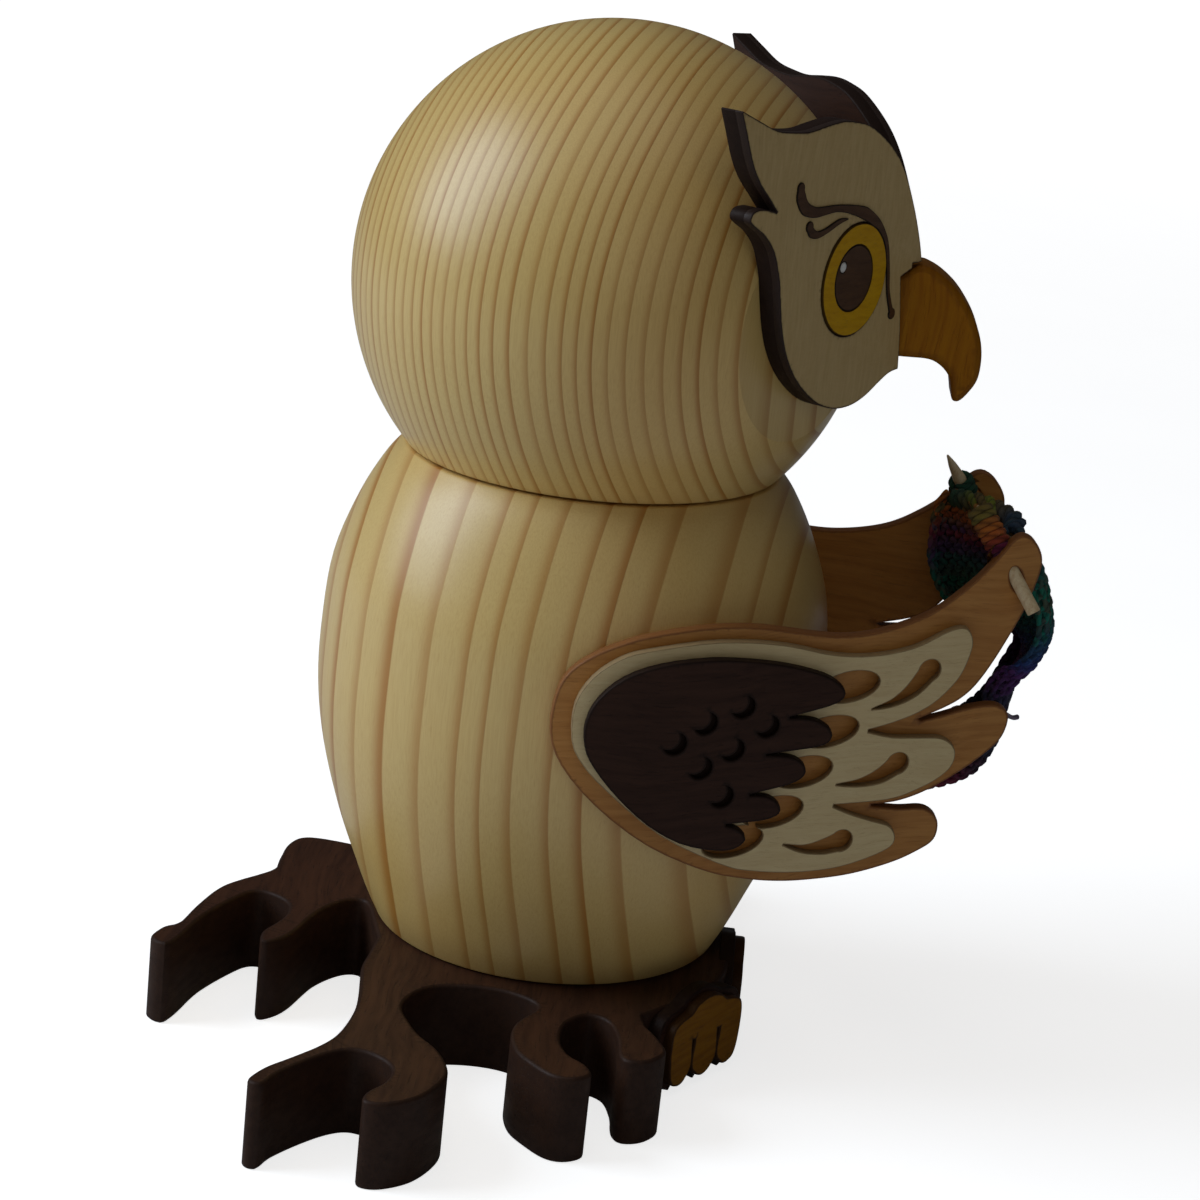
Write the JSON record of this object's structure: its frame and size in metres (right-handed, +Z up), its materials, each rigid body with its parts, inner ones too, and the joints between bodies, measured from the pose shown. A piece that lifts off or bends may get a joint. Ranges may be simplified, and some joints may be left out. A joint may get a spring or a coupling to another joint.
{
  "type": "turned wooden owl incense smoker",
  "caption": "Turned wooden owl that stands on a branch-shaped base, with a hollow lift-off body for an incense cone, a turning head and layered wings holding knitting needles.",
  "frame": {"origin": "underside of the base board, below the turning axis of body and head", "axes": "+Z up along the turning axis, -Y the way the owl faces, -X the owl's own right"},
  "size_m": [0.1396, 0.128, 0.15],
  "materials": {
    "pine": "clear satin lacquer over pale pine with orange growth lines",
    "walnut": "dark walnut, oiled satin",
    "maple": "pale maple ply, satin, with burnt laser-cut edges",
    "cherry": "brown cherry ply, satin",
    "stained_wood": "orange-brown stained wood, satin",
    "yellow_wood": "yellow stained wood, satin",
    "dark_inlay": "dark brown stained inlay, matte",
    "birch": "pale birch, plain sanded",
    "white_paint": "white enamel dot",
    "dish_metal": "thin pressed brass, brushed",
    "yarn": "variegated wool yarn, knitted"
  },
  "bodies": {
    "base": {"base_board": "walnut", "foot_back_right": "walnut", "foot_back_left": "walnut", "foot_right": "stained_wood", "foot_left": "stained_wood", "seat_plug": "pine", "incense_dish": "dish_metal"},
    "body": {"body_shell": "pine", "wing_dowel_right": "birch", "wing_dowel_left": "birch", "wing_back_right": "cherry", "wing_back_left": "cherry", "wing_middle_right": "maple", "wing_middle_left": "maple", "wing_front_right": "walnut", "wing_front_left": "walnut", "needle_right": "birch", "needle_left": "birch", "knitting": "yarn"},
    "head": {"head_ball": "pine", "neck_tube": "pine", "mask_back_right": "walnut", "mask_back_left": "walnut", "mask_front_right": "maple", "mask_front_left": "maple", "brow_right": "dark_inlay", "brow_left": "dark_inlay", "brow_curl_right": "dark_inlay", "brow_curl_left": "dark_inlay", "eye_ring_right": "yellow_wood", "eye_ring_left": "yellow_wood", "pupil_right": "dark_inlay", "pupil_left": "dark_inlay", "eye_glint_right": "white_paint", "eye_glint_left": "white_paint", "beak": "stained_wood"}
  },
  "joints": [
    {"name": "body_lift", "type": "slide", "parent": "base", "child": "body", "axis": [0, 0, 1], "range_m": [0, 0.045]},
    {"name": "head_turn", "type": "hinge", "parent": "body", "child": "head", "pos_m": [0, 0, 0.0869], "axis": [0, 0, 1], "continuous": true}
  ]
}
